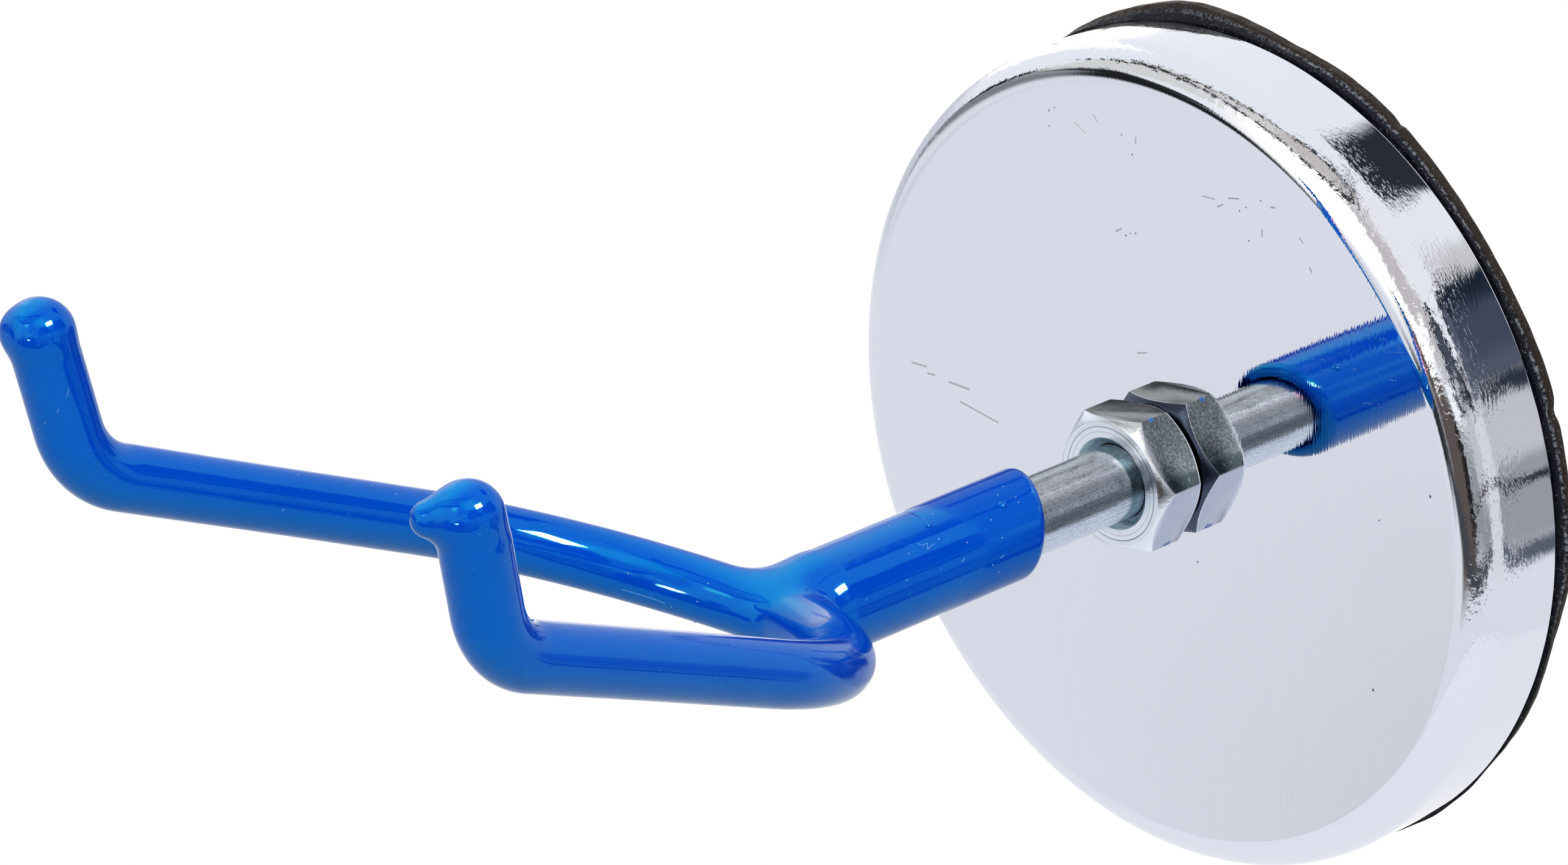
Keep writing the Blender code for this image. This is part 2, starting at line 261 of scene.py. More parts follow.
def pad_wave(turn):
    """How far the trimmed edge stands out or in at an angle, by its waves and dents."""
    out = pad_edge_height * (waves_at(turn, pad_edge_waves) - 1.0)
    for place, width, depth in pad_dents:
        away = (math.degrees(turn) - place + 180) % 360 - 180
        out -= depth * math.exp(-((away / width) ** 2))
    return out


pad_profile = [
    (0.0, pad_front_y),
    (pad_inner_ring, pad_front_y),
    (pad_outer_ring, pad_front_y),
    (pad_radius - pad_bevel - pad_edge_break, pad_front_y),
    (pad_radius - pad_bevel, pad_front_y + 0.4 * pad_edge_break),
    (pad_radius - pad_edge_break, pad_front_y + pad_bevel - 1.2 * pad_edge_break),
    (pad_radius, pad_front_y + pad_bevel),
    (pad_radius, -pad_back_round),
    *arc_points((pad_radius - pad_back_round, -pad_back_round), pad_back_round, 0, 90, 4),
    (pad_outer_ring, 0.0),
    (pad_inner_ring, 0.0),
    (0.0, 0.0),
]


def pad_shift(index, turn):
    """The bevel's inner line wanders on its own, and the edge follows the trimmed wave."""
    if index in pad_bevel_rows:
        return waves_at(turn, pad_bevel_waves)
    return pad_wave(turn) if pad_profile[index][0] > pad_trimmed_from else 0.0


def squeezed(turn):
    """How much thinner the pad lies at an angle, where its glue bed was squeezed on one side."""
    return pad_squeeze * math.cos(turn - pad_thin_turn)


def pad_lift(index, turn):
    """The front edge follows the squeeze, the line under its bevel less so."""
    return squeezed(turn) * pad_squeeze_shares.get(index, 0.0)


rubber = Finish("moulded_black_rubber", (0.006, 0.006, 0.007), 0.52, Specular_IOR_Level=0.15)
pad_x, pad_y = rubber.parts(rubber.place)[:2]
thin_way = Vector((math.cos(pad_thin_turn), 0.0, math.sin(pad_thin_turn)))
pad_lean = rubber.vector("DOT_PRODUCT", rubber.place, thin_way)
pad_depth = rubber.math("MULTIPLY_ADD", pad_lean, -pad_lean_share * pad_squeeze / pad_radius, pad_y)
rubber_grain = rubber.grain(2600, 4, 0.65)
rubber_cloud = rubber.grain(260, 3, 0.6)
# Painted reflection: the front and the lower half of the bevel are painted navy and the rest of the edge
# brownish, standing in for how each face catches the room.
edge_reflection_band = rubber.ramp(pad_depth, -0.00148, -0.00128)
rubber_colour = rubber.blend(edge_reflection_band, (0.0035, 0.0050, 0.0110), (0.0210, 0.0140, 0.0095))
# Lighter patches at random: a little bloom of the rubber, and painted sheen.
rubber_bloom_and_sheen = rubber.ramp(rubber_cloud, 0.35, 0.75, 0.0, 0.4)
rubber_colour = rubber.blend(rubber_bloom_and_sheen, rubber_colour, (0.014, 0.013, 0.015))

# Dust lies on the rubber in fine specks. A broken light line along the bevel, less of it on the left, is a
# painted highlight.
bevel_highlight = rubber.near(pad_depth, -0.00150, 0.00006, 0.00024)
bevel_highlight = rubber.times(bevel_highlight, rubber.ramp(rubber.grain(2400, 3, 0.7), 0.46, 0.60))
bevel_highlight = rubber.times(bevel_highlight, rubber.ramp(pad_x, -0.012, 0.010, 0.25, 1.0))
rubber_dust_and_highlight = rubber.ramp(rubber.grain(3600), 0.62, 0.72)
rubber_dust_and_highlight = rubber.higher(rubber.times(rubber_dust_and_highlight, 0.5), rubber.times(bevel_highlight, 0.8))
rubber.set("Base Color", rubber.blend(rubber_dust_and_highlight, rubber_colour, (0.20, 0.22, 0.25)))
rubber.set("Roughness", rubber.ramp(rubber_cloud, 0.3, 0.8, 0.42, 0.66))
rubber.set("Normal", rubber.bump(rubber_grain, 0.00010, rubber.bump(rubber_cloud, 0.0009)))

pad = piece_from("pad_rubber", *lathed(pad_profile, pad_steps, pad_shift, pad_lift), rubber, 20)
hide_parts("pad")
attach(pad, "base")

# The magnet set in the cup: a sintered ferrite ring, a turned iron core, and two rings of cast resin.
# The ring is pressed from powder, the core is cut on a lathe, and the resin is poured round them.
# The pad covers them, so the CAD solids stay, each with its own finish.

ferrite = Finish("sintered_ferrite", (0.085, 0.085, 0.090), 0.75)
ferrite_grain = ferrite.grain(1800, 4, 0.7)
ferrite.follow(ferrite_grain, (0.060, 0.060, 0.065), (0.115, 0.114, 0.118), 0.00012)

core_iron = Finish("turned_core_iron", (0.42, 0.42, 0.43), 0.42, 1.0)
core_x, core_y, core_z = core_iron.parts(core_iron.place)
core_reach = core_iron.vector("LENGTH", core_iron.joined(core_x, 0.0, core_z))
core_lines = core_iron.noise(core_iron.joined(core_reach, core_y, 0.0), 5200, 2, 0.6)
core_iron.follow(core_lines, (0.36, 0.36, 0.37), (0.48, 0.48, 0.49), 0.00004)

resin = Finish("cast_resin", (0.10, 0.10, 0.11), 0.45)
resin_cloud = resin.grain(420, 3, 0.6)
resin.follow(resin_cloud, (0.075, 0.075, 0.085), (0.125, 0.124, 0.132), 0.00025)
resin.set("Roughness", resin.ramp(resin_cloud, 0.3, 0.7, 0.36, 0.58))


def refinish(node, finish):
    """Gives a CAD node its procedural finish."""
    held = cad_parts[node]
    held.data.materials.clear()
    held.data.materials.append(finish.material)


refinish("ring_magnet", ferrite)
refinish("pole_core", core_iron)
refinish("inner_potting_ring", resin)
refinish("outer_potting_ring", resin)

# The cup: a pot of 1.5 mm sheet steel, pressed and chromed, with a flat mirror face and a rounded shoulder.
# Its polishing lines run upright and comb the edges of reflections. It has small pits and hairline marks.

face_y = -0.0132
cup_radius = 0.0450
cup_sheet = 0.0015
cup_shoulder = 0.0040
cup_rim_edge = 0.0003
cup_rim_y = -0.0023
cup_rim_depth = 0.0006
cup_bore = 0.0043
cup_inner_ring, cup_outer_ring = 0.012, 0.026
cup_floor_ring = 0.020
cup_wall_hold, cup_rim_hold = 0.0003, 0.0001
cup_steps = 540
cup_centre = (cup_radius - cup_shoulder, face_y + cup_shoulder)
cup_floor_y = face_y + cup_sheet
cup_edge_y = cup_rim_y - cup_rim_edge

cup_profile = [
    (cup_bore, face_y),
    (cup_inner_ring, face_y),
    (cup_outer_ring, face_y),
    (cup_centre[0], face_y),
    *arc_points(cup_centre, cup_shoulder, -90, 0, 22),
    (cup_radius, cup_centre[1] + cup_wall_hold),
    (cup_radius, cup_edge_y - cup_rim_hold),
    (cup_radius, cup_edge_y),
    *arc_points((cup_radius - cup_rim_edge, cup_edge_y), cup_rim_edge, 0, 90, 3),
    (cup_radius - cup_sheet, cup_rim_y),
    (cup_radius - cup_sheet, cup_centre[1]),
    *arc_points(cup_centre, cup_shoulder - cup_sheet, 0, -90, 8),
    (cup_floor_ring, cup_floor_y),
    (cup_bore, cup_floor_y),
]


def rim_lift(index, turn):
    """The rim stands deeper where the pad is squeezed thin."""
    return squeezed(turn) if cup_profile[index][1] > cup_rim_y - cup_rim_depth else 0.0


# Hairlines on the face: (x, z) of both ends and the half width, in millimetres.
face_hairlines = (
    (-35.8, 1.7, -33.6, 1.8, 0.10), (-33.4, 1.1, -32.3, 1.2, 0.09), (-30.1, 1.0, -27.1, 1.0, 0.11),
    (-28.5, -0.8, -22.8, -1.6, 0.08), (-5.1, 24.8, -4.3, 25.3, 0.10), (-8.2, 36.8, -7.7, 36.2, 0.08),
    (-10.9, 35.3, -9.4, 34.5, 0.06), (-2.2, 35.8, -2.2, 35.1, 0.08), (9.2, 31.2, 9.9, 31.6, 0.08),
    (7.1, 31.8, 8.8, 31.9, 0.06), (10.7, 32.5, 12.1, 32.8, 0.07), (15.3, 30.3, 15.3, 29.6, 0.08),
    (16.5, 33.0, 17.0, 33.1, 0.08), (21.8, 27.8, 22.0, 27.5, 0.09), (20.4, 30.7, 20.8, 30.3, 0.08),
    (-2.2, 12.1, -0.8, 12.5, 0.07),
)

# Pits on the face: (x, z) and the radius, in millimetres.
face_pits = (
    (-3.7, 24.7, 0.10), (-3.1, 25.1, 0.08), (-2.3, 25.3, 0.09), (-14.6, 35.7, 0.10), (-13.8, 36.2, 0.08),
    (-14.6, 34.0, 0.09), (-4.2, 35.6, 0.08), (-2.7, 33.8, 0.10), (12.2, 31.5, 0.09), (13.1, 32.1, 0.08),
    (15.1, 33.3, 0.09), (13.5, 28.6, 0.09), (38.0, 7.8, 0.15), (31.3, 3.2, 0.10), (30.7, -15.8, 0.17),
    (6.3, -9.0, 0.11),
)

chrome_tint = (0.70, 0.73, 0.82)
chrome = Finish("polished_chrome", chrome_tint, 0.02, 1.0)
cup_x, cup_y, cup_z = chrome.parts(chrome.place)
flat_place = chrome.joined(cup_x, 0.0, cup_z)
around = chrome.times(chrome.math("ARCTAN2", cup_z, cup_x), cup_radius)
on_face = chrome.ramp(cup_y, face_y + 0.0006, face_y + 0.0002)
on_wall = chrome.minus(1.0, on_face)
face_lines = chrome.drawn_noise(cup_x, 3600, cup_z, 70, 0.0, 1)
wall_lines = chrome.drawn_noise(around, 1200, cup_y, 3400, 3.0, 2)
near_shoulder = chrome.ramp(cup_y, -0.0050, -0.0090, 0.0, 0.30)
wall_lines = chrome.plus(wall_lines, chrome.times(chrome.ramp(wall_lines, 0.53, 0.66), near_shoulder))
wall_share = chrome.times(on_wall, chrome.ramp(cup_y, -0.0022, -0.0095, 0.8, 4.0))
face_polish = chrome.times(face_lines, chrome.times(on_face, 0.7))
polish_lines = chrome.plus(face_polish, chrome.times(wall_lines, wall_share))
wall_waves = chrome.times(chrome.drawn_noise(around, 190, cup_y, 260, 0.0, 1), on_wall)
face_dish = chrome.noise(flat_place, 45, 1)


def marked(finish, place, marks):
    """Full on any of many marks: each is its two ends and its half width, in millimetres."""
    total = 0.0
    for start, end, width in marks:
        start = Vector([value * 0.001 for value in start])
        run = Vector([value * 0.001 for value in end]) - start
        if run.length > 0.0:
            from_start = finish.vector("SUBTRACT", place, start)
            along = finish.vector("DOT_PRODUCT", from_start, run / run.length_squared)
            along = finish.math("MINIMUM", finish.higher(along, 0.0), 1.0)
            stretch = finish.node("ShaderNodeVectorMath", run, operation="SCALE")
            finish.feed(stretch.inputs["Scale"], along)
            away = finish.vector("DISTANCE", from_start, stretch.outputs[0])
        else:
            away = finish.vector("DISTANCE", place, start)
        total = finish.higher(total, finish.ramp(away, width * 0.0005, width * 0.0015, 1.0, 0.0))
    return total


hairline_marks = [((x, 0.0, z), (far_x, 0.0, far_z), width) for x, z, far_x, far_z, width in face_hairlines]
pit_marks = [((x, 0.0, z), (x, 0.0, z), radius) for x, z, radius in face_pits]
hairlines = chrome.times(marked(chrome, flat_place, hairline_marks), on_face)
pits = chrome.times(marked(chrome, flat_place, pit_marks), on_face)
wear = chrome.higher(hairlines, pits)
chrome_colour = chrome.blend(chrome.times(hairlines, 0.45), chrome_tint, (0.30, 0.31, 0.34))
chrome.set("Base Color", chrome.blend(chrome.times(pits, 0.9), chrome_colour, (0.08, 0.09, 0.12)))
chrome.set("Roughness", chrome.math("MULTIPLY_ADD", wear, 0.4, 0.015))
chrome_normal = chrome.bump(wall_waves, 0.00003)
chrome_normal = chrome.bump(face_dish, 0.00004, chrome_normal)
chrome_normal = chrome.bump(polish_lines, 0.0000045, chrome_normal)
chrome.set("Normal", chrome.bump(wear, -0.000015, chrome_normal))

cup = piece_from("cup_chrome", *lathed(cup_profile, cup_steps, None, rim_lift), chrome, 50)
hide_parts("cup")
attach(cup, "base")

# The bar: drawn round steel of 8 mm, threaded into the core and zinc-plated, bare between nut and sleeve.
# Drawing and brushing leave fine lines along it. A dark band on its right side, with more specks in it, is
# painted shade.

bar_radius = 0.0040
bar_inner_y = -0.0033
bar_outer_y = -0.0632
bar_edge = 0.0006
bar_end_run = 0.004
bar_rings_y = np.linspace(bar_outer_y + bar_end_run, bar_inner_y - bar_end_run, 12).tolist()
bar_profile = [
    (0.0, bar_outer_y),
    (bar_radius - bar_edge, bar_outer_y),
    (bar_radius, bar_outer_y + bar_edge),
    *[(bar_radius, y) for y in bar_rings_y],
    (bar_radius, bar_inner_y - bar_edge),
    (bar_radius - bar_edge, bar_inner_y),
    (0.0, bar_inner_y),
]

zinc_bar = Finish("brushed_zinc_bar", (0.60, 0.64, 0.67), 0.22, 1.0)
bar_x, bar_y, bar_z = zinc_bar.parts(zinc_bar.place)
bar_turn = zinc_bar.math("ARCTAN2", bar_z, bar_x)
bar_around = zinc_bar.times(bar_turn, bar_radius)
bar_angle = zinc_bar.math("DEGREES", bar_turn)
bar_lines = zinc_bar.drawn_noise(bar_around, 4200, bar_y, 160, 0.0, 3, 0.6)
bar_grain = zinc_bar.drawn_noise(bar_around, 5200, bar_y, 2400, 7.0, 3, 0.6)
bar_cloud = zinc_bar.grain(420)
# Painted shade: the right side of the bar is painted darker, with stronger specks.
bar_shade_band = zinc_bar.times(zinc_bar.ramp(bar_angle, -4, 6), zinc_bar.ramp(bar_angle, 48, 37))
bar_specks = zinc_bar.ramp(bar_grain, 0.52, 0.64)
bar_specks = zinc_bar.times(bar_specks, zinc_bar.math("MULTIPLY_ADD", bar_shade_band, 0.4, 0.45))
bar_colour = zinc_bar.blend(zinc_bar.ramp(bar_lines, 0.3, 0.7), (0.56, 0.62, 0.69), (0.80, 0.86, 0.94))
bar_colour = zinc_bar.blend(zinc_bar.times(bar_shade_band, 0.75), bar_colour, (0.26, 0.31, 0.35))
zinc_bar.set("Base Color", zinc_bar.blend(bar_specks, bar_colour, (0.16, 0.19, 0.22)))
zinc_bar.set("Roughness", zinc_bar.ramp(bar_cloud, 0.3, 0.7, 0.14, 0.24))
zinc_bar.set("Normal", zinc_bar.bump(bar_lines, 0.000020, zinc_bar.bump(bar_cloud, 0.00004)))

bar = piece_from("bar_zinc", *lathed(bar_profile, 192), zinc_bar, 30)
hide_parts("shaft")
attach(bar, "hook")

# The lock nut: a steel hex nut of 14 mm across flats, zinc-plated, its corners turned off on both faces.
# The turned face keeps concentric tool rings, and a countersink leads into the thread.

nut_across_flats = 0.0141
nut_front_y = -0.0196
nut_back_y = -0.0135
nut_face_radius = 0.00675
nut_chamfer = 0.0011
nut_bore = 0.00404
nut_countersink = 0.00095
nut_edge = 0.00016
nut_turn = math.radians(5.9)
nut_ring_radius = 0.00617
nut_inner_ring_radius = 0.00562
nut_overrun = 0.001
nut_corner = nut_across_flats / math.sqrt(3)
nut_slope = (nut_corner - nut_face_radius) / nut_chamfer
nut_ahead_y = nut_front_y - nut_overrun
nut_behind_y = nut_back_y + nut_overrun
nut_turned_end = nut_face_radius - nut_overrun * nut_slope
nut_sink_radius = nut_bore + nut_countersink


def passing_solid(name, shape):
    """A solid that is only used in a cut."""
    joined_up(shape)
    mesh = bpy.data.meshes.new(name)
    shape.to_mesh(mesh)
    shape.free()
    return placed(name, mesh)


def turned_solid(name, profile, steps):
    """A passing solid, turned from a profile that starts and ends on the axis."""
    shape = bmesh.new()
    points, faces = lathed(profile, steps)
    held = [shape.verts.new(point) for point in points]
    for face in faces:
        shape.faces.new([held[index] for index in face])
    bmesh.ops.dissolve_degenerate(shape, edges=shape.edges, dist=0.0000001)
    return passing_solid(name, shape)


hexagon = bmesh.new()
hex_rings = []
hex_turns = [nut_turn + math.tau * corner / 6 for corner in range(6)]
for hex_y in (nut_front_y, nut_back_y):
    hex_points = [(nut_corner * math.cos(turn), hex_y, nut_corner * math.sin(turn)) for turn in hex_turns]
    hex_rings.append([hexagon.verts.new(point) for point in hex_points])
hex_front, hex_back = hex_rings
for corner in range(6):
    beside = (corner + 1) % 6
    hexagon.faces.new((hex_front[corner], hex_front[beside], hex_back[beside], hex_back[corner]))
hexagon.faces.new(hex_front)
hexagon.faces.new(hex_back)
hex_solid = passing_solid("hex_blank", hexagon)
nut_envelope = turned_solid("nut_turning", [
    (0.0, nut_ahead_y),
    (nut_turned_end, nut_ahead_y),
    (nut_face_radius + nut_slope * (nut_back_y - nut_front_y) / 2, (nut_front_y + nut_back_y) / 2),
    (nut_turned_end, nut_behind_y),
    (0.0, nut_behind_y),
], 180)
nut_drill = turned_solid("nut_drill", [
    (0.0, nut_ahead_y),
    (nut_sink_radius + nut_overrun, nut_ahead_y),
    (nut_bore, nut_front_y + nut_countersink),
    (nut_bore, nut_back_y - nut_countersink),
    (nut_sink_radius + nut_overrun, nut_behind_y),
    (0.0, nut_behind_y),
], 120)
for other, operation in ((nut_envelope, "INTERSECT"), (nut_drill, "DIFFERENCE")):
    cut = hex_solid.modifiers.new(operation.lower(), "BOOLEAN")
    cut.operation = operation
    cut.solver = "EXACT"
    cut.object = other
rounding = hex_solid.modifiers.new("broken edges", "BEVEL")
rounding.width = nut_edge
rounding.segments = 2
rounding.limit_method = "ANGLE"
rounding.angle_limit = math.radians(20)
rounding.use_clamp_overlap = True

zinc_nut = Finish("turned_zinc_nut", (0.55, 0.59, 0.62), 0.30, 1.0)
nut_x, nut_y, nut_z = zinc_nut.parts(zinc_nut.place)
nut_reach = zinc_nut.vector("LENGTH", zinc_nut.joined(nut_x, 0.0, nut_z))
nut_angle = zinc_nut.math("DEGREES", zinc_nut.math("ARCTAN2", nut_z, nut_x))
turned_rings = zinc_nut.noise(zinc_nut.joined(nut_reach, 0.0, 0.0), 5200, 3, 0.6)
nut_specks = zinc_nut.grain(3400, 4, 0.65)
nut_cloud = zinc_nut.grain(380, 3, 0.6)
nut_scratches = zinc_nut.noise(zinc_nut.vector("MULTIPLY", zinc_nut.place, (900, 5200, 900)))
nut_scratches = zinc_nut.ramp(nut_scratches, 0.62, 0.70)

# The flats: smooth and pale below. The upper flats are painted duller and the right one above darker, over a
# coarse grain, all painted shade.
upper_flats_shade = zinc_nut.times(zinc_nut.ramp(nut_angle, 5, 7), zinc_nut.ramp(nut_angle, 127, 125))
right_flat_shade = zinc_nut.times(upper_flats_shade, zinc_nut.ramp(nut_angle, 67, 65))
flat_colour = zinc_nut.blend(nut_specks, (0.46, 0.50, 0.59), (0.56, 0.60, 0.69))
flat_colour = zinc_nut.blend(upper_flats_shade, flat_colour, (0.42, 0.45, 0.46))
shaded_grain = zinc_nut.blend(zinc_nut.ramp(nut_specks, 0.42, 0.62), (0.150, 0.190, 0.200), (0.33, 0.38, 0.40))
shaded_grain = zinc_nut.blend(zinc_nut.ramp(nut_angle, 18, 14), shaded_grain, (0.10, 0.14, 0.15))
flat_colour = zinc_nut.blend(right_flat_shade, flat_colour, shaded_grain)
flat_colour = zinc_nut.blend(zinc_nut.times(nut_scratches, 0.5), flat_colour, (0.66, 0.71, 0.78))


def inside_turning(end_y, slope):
    """How far each point lies inside the cone that turns the corners off at one end of the nut."""
    cone = zinc_nut.math("MULTIPLY_ADD", nut_y, slope, nut_face_radius - slope * end_y)
    return zinc_nut.minus(cone, nut_reach)


inside_front = inside_turning(nut_front_y, nut_slope)
inside_back = inside_turning(nut_back_y, -nut_slope)
# Painted highlight: the edges of the turned corners are painted bright.
turned_edge_highlight = zinc_nut.ramp(zinc_nut.math("MINIMUM", inside_front, inside_back), 0.00026, 0.00012)
flat_colour = zinc_nut.blend(turned_edge_highlight, flat_colour, (0.80, 0.85, 0.95))
# Painted shade: the back chamfer, in the crease against the cup's face, is painted dark.
flat_colour = zinc_nut.blend(zinc_nut.ramp(inside_back, 0.00008, 0.00002), flat_colour, (0.10, 0.12, 0.16))

# The turned face: fine rings and two cut lines. The countersink is painted a dark teal, as painted shade in
# the recess.
front_mask = zinc_nut.ramp(nut_y, nut_front_y + 0.0012, nut_front_y + 0.0003)
face_colour = zinc_nut.blend(turned_rings, (0.56, 0.62, 0.71), (0.80, 0.86, 0.95))
ring_line = zinc_nut.near(nut_reach, nut_ring_radius, 0.00004, 0.00009)
inner_ring_line = zinc_nut.near(nut_reach, nut_inner_ring_radius, 0.00003, 0.00008)
ring_lines = zinc_nut.math("MULTIPLY_ADD", inner_ring_line, 0.35, zinc_nut.times(ring_line, 0.75))
face_colour = zinc_nut.blend(ring_lines, face_colour, (0.20, 0.24, 0.28))
countersink_shade = zinc_nut.ramp(nut_reach, nut_sink_radius + 0.0001, nut_sink_radius - 0.0001)
nut_colour = zinc_nut.blend(front_mask, flat_colour, face_colour)
nut_colour = zinc_nut.blend(zinc_nut.times(countersink_shade, front_mask), nut_colour, (0.27, 0.38, 0.43))

# Two corners keep a fleck of the blue vinyl that was wiped off the nut: the place of each and its radius.
nut_flecks = ((0.00330, -0.01705, 0.00738, 0.00062), (0.00474, -0.01630, -0.00655, 0.00105))
fleck_mask = 0.0
for *fleck_place, fleck_radius in nut_flecks:
    fleck_away = zinc_nut.vector("DISTANCE", zinc_nut.place, Vector(fleck_place))
    ragged = zinc_nut.math("MULTIPLY_ADD", nut_specks, fleck_radius * 1.2, fleck_away)
    fleck = zinc_nut.ramp(ragged, fleck_radius * 0.9, fleck_radius * 1.3, 1.0, 0.0)
    fleck_mask = zinc_nut.higher(fleck_mask, fleck)
zinc_nut.set("Base Color", zinc_nut.blend(fleck_mask, nut_colour, (0.0, 0.16, 0.55)))
zinc_nut.set("Metallic", zinc_nut.minus(1.0, fleck_mask))
zinc_nut.set("Roughness", zinc_nut.ramp(nut_cloud, 0.3, 0.7, 0.14, 0.22))
ring_step = zinc_nut.ramp(nut_reach, nut_ring_radius - 0.00005, nut_ring_radius + 0.00005)
nut_normal = zinc_nut.bump(zinc_nut.times(turned_rings, front_mask), 0.00002)
nut_normal = zinc_nut.bump(zinc_nut.times(ring_step, front_mask), 0.00004, nut_normal)
nut_normal = zinc_nut.bump(nut_specks, 0.00002, nut_normal)
zinc_nut.set("Normal", zinc_nut.bump(nut_cloud, 0.00004, nut_normal))

bpy.context.view_layer.update()
nut_mesh = bpy.data.meshes.new_from_object(hex_solid.evaluated_get(bpy.context.evaluated_depsgraph_get()))
for passing in (hex_solid, nut_envelope, nut_drill):
    bpy.data.objects.remove(passing, do_unlink=True)
nut_mesh.name = "lock_nut_zinc"
nut = finished("lock_nut_zinc", nut_mesh, zinc_nut, 18)
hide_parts("lock_nut")
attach(nut, "nut")

# The fork's rod, zinc-plated and of 5 mm, bent on formers, and the fillet weld that joins it to the bar.
# The skin hides them, so the CAD solids stay, each with its own finish.

zinc_rod = Finish("drawn_zinc_rod", (0.60, 0.64, 0.67), 0.30, 1.0)
rod_grain = zinc_rod.grain(1500, 4, 0.6)
zinc_rod.follow(rod_grain, (0.48, 0.52, 0.56), (0.68, 0.71, 0.74), 0.00004)

weld_metal = Finish("weld_metal", (0.30, 0.29, 0.28), 0.55, 1.0)
weld_ripple = weld_metal.grain(900, 3, 0.6)
weld_metal.follow(weld_ripple, (0.18, 0.17, 0.16), (0.40, 0.38, 0.36), 0.0002)
refinish("fork", zinc_rod)
refinish("weld_bead", weld_metal)

# The dipped skin: soft PVC, made by dipping the hot metal in a blue paste and letting the rest run off.
# It pools in the crotch and the bends, leaves a soft lip on the bar, and is drawn out to a blob at each tip.

fork_y = -0.0660
fork_rise = 0.0003
fork_pitch = math.radians(23.15)
apex_angle, apex_radius = math.radians(14.1), 0.0080
side_angle, side_radius = math.radians(84.2), 0.03175
prong_length = 0.0350
elbow_angle, elbow_radius = math.radians(55.9), 0.0086
tip_length = 0.0102
tip_shoulder = 0.0030
skin_radius = 0.0033
skin_sway = 0.00002
sleeve_radius = 0.00555
sleeve_lip_y = -0.0327
sleeve_lip_lean = (-0.30, 0.17)
sleeve_lip_round = 0.0012
sleeve_end_y = fork_y + 0.0012
sleeve_end_round = 0.0044
sleeve_bore = 0.0042
sleeve_bore_end_y = fork_y + 0.0030
far_crotch_blend, near_crotch_blend = 0.0050, 0.0024
crotch_from_x, crotch_to_x = -0.001, 0.005
nose_blend, nose_sink = 0.0012, 0.0004
sleeve_lip_slope = 1 / math.sqrt(1 + sleeve_lip_lean[0] ** 2 + sleeve_lip_lean[1] ** 2)
skin_cell = 0.00042
skin_reach = 0.000004
forward = np.array([0.0, -math.cos(fork_pitch), math.sin(fork_pitch)])
upward = np.array([0.0, math.sin(fork_pitch), math.cos(fork_pitch)])
sideways = np.array([1.0, 0.0, 0.0])
fork_middle = np.array([0.0, fork_y, fork_rise])

side_start = apex_radius * (sideways * math.sin(apex_angle) + forward * (1 - math.cos(apex_angle)))
side_centre = side_start + side_radius * (-sideways * math.sin(apex_angle) + forward * math.cos(apex_angle))
prong_start = side_centre + side_radius * (sideways * math.sin(side_angle) - forward * math.cos(side_angle))
prong = sideways * math.cos(side_angle) + forward * math.sin(side_angle)
elbow_start = prong_start + prong * prong_length
elbow_centre = elbow_start + upward * elbow_radius
tip_start = elbow_centre + elbow_radius * (prong * math.sin(elbow_angle) - upward * math.cos(elbow_angle))
tip_heading = prong * math.cos(elbow_angle) + upward * math.sin(elbow_angle)
tip_end = tip_start + tip_heading * tip_length


def to_arc(points, centre, radius, across, along, start, end):
    """The distance to an arc that leaves its lowest point along one direction and climbs the other."""
    offset = points - centre
    turn = np.clip(np.arctan2(offset @ across, -(offset @ along)), start, end)
    nearest = radius * (np.sin(turn)[:, None] * across - np.cos(turn)[:, None] * along)
    return np.linalg.norm(offset - nearest, axis=1)


def to_run(points, start, end):
    """The distance to a straight run between two places."""
    run = end - start
    share = np.clip((points - start) @ run / (run @ run), 0.0, 1.0)
    return np.linalg.norm(points - start - share[:, None] * run, axis=1)


def melted(first, second, reach):
    """The union of two forms, with a fillet where they meet."""
    share = np.maximum(reach - np.abs(first - second), 0.0) / reach
    return np.minimum(first, second) - share * share * reach * 0.25


def sleeve_distance(points):
    """The sleeve round the bar: a round body with a soft lip at one end and a round end in the crotch."""
    reach = np.hypot(points[:, 0], points[:, 2])
    upper = points[:, 1] > (sleeve_lip_y + fork_y) / 2
    round_here = np.where(upper, sleeve_lip_round, sleeve_end_round)
    lip = sleeve_lip_y + sleeve_lip_lean[0] * points[:, 0] + sleeve_lip_lean[1] * points[:, 2]
    out = reach - (sleeve_radius - round_here)
    over = np.where(upper, (points[:, 1] - lip) * sleeve_lip_slope, sleeve_end_y - points[:, 1]) + round_here
    outside = np.hypot(np.maximum(out, 0), np.maximum(over, 0))
    return outside + np.minimum(np.maximum(out, over), 0) - round_here


def drawn_out(points, start, end, start_radius, end_radius):
    """The distance to two balls and the cone that touches both: a blob that is drawn out to one side."""
    run = end - start
    length = np.linalg.norm(run)
    along = (points - start) @ run / length
    out = np.linalg.norm(points - start - along[:, None] * run / length, axis=1)
    lean = (start_radius - end_radius) / length
    upright = math.sqrt(1 - lean * lean)
    side = along * upright - out * lean
    cone = out * upright + along * lean - start_radius
    first = np.hypot(out, along) - start_radius
    second = np.hypot(out, along - length) - end_radius
    return np.where(side < 0, first, np.where(side > upright * length, second, cone))


mirrored_over = np.array([-1.0, 1.0, 1.0])
rod_tip = tip_end + fork_middle
rod_shoulder = rod_tip - tip_shoulder * tip_heading
near_tip = rod_tip + np.array([-0.0002, 0.0, 0.0]) - 0.0002 * tip_heading
near_nose = near_tip + np.array([-0.0020, -0.00275, 0.0])
far_tip = (rod_tip + 0.00015 * tip_heading) * mirrored_over
far_nose = far_tip + np.array([-0.0013, -0.0009, 0.0])

# Each prong's end: its shoulder, the ball at its tip, the smaller ball it is drawn out to, and their radii.
skin_tips = (
    (rod_shoulder, near_tip, near_nose, 0.00318, 0.0017),
    (rod_shoulder * mirrored_over, far_tip, far_nose, 0.0033, 0.0022),
)


